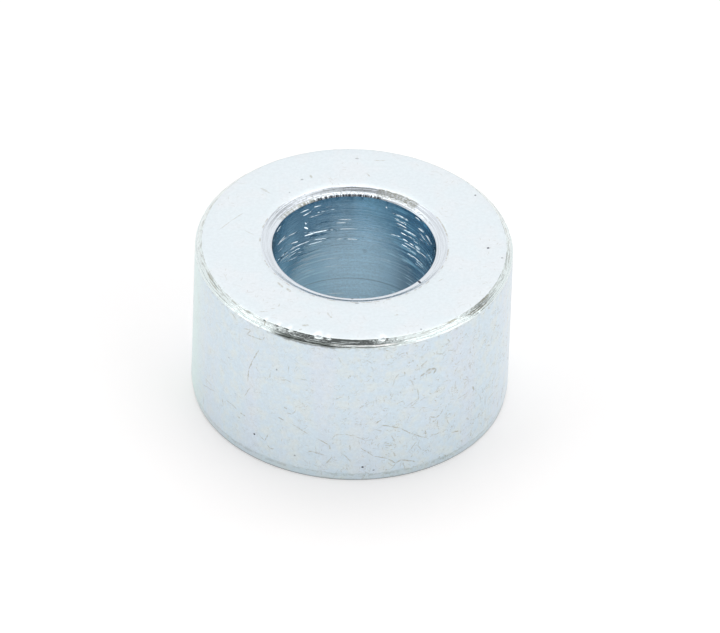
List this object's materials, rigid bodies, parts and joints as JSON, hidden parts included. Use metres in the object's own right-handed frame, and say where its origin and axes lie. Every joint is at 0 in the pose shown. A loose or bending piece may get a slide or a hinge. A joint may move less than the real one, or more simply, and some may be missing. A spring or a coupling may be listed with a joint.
{
  "type": "spacer sleeve",
  "caption": "Short, thick-walled round spacer sleeve in bright plated steel, with a plain bore, shallow countersunk mouths and chamfered outer edges.",
  "frame": {"origin": "centre of the bore at the lower end face, on the plane that the sleeve stands on", "axes": "+Z along the bore axis, from the lower end face to the upper one; X and Y are free directions, because the sleeve is round"},
  "size_m": [0.02, 0.02, 0.0111],
  "materials": {
    "plated_steel": "bright zinc plate with a pale blue passivate over fine-turned steel, barrel-eased edges and light handling marks"
  },
  "bodies": {
    "root": {"spacer_sleeve": "plated_steel"}
  },
  "joints": []
}
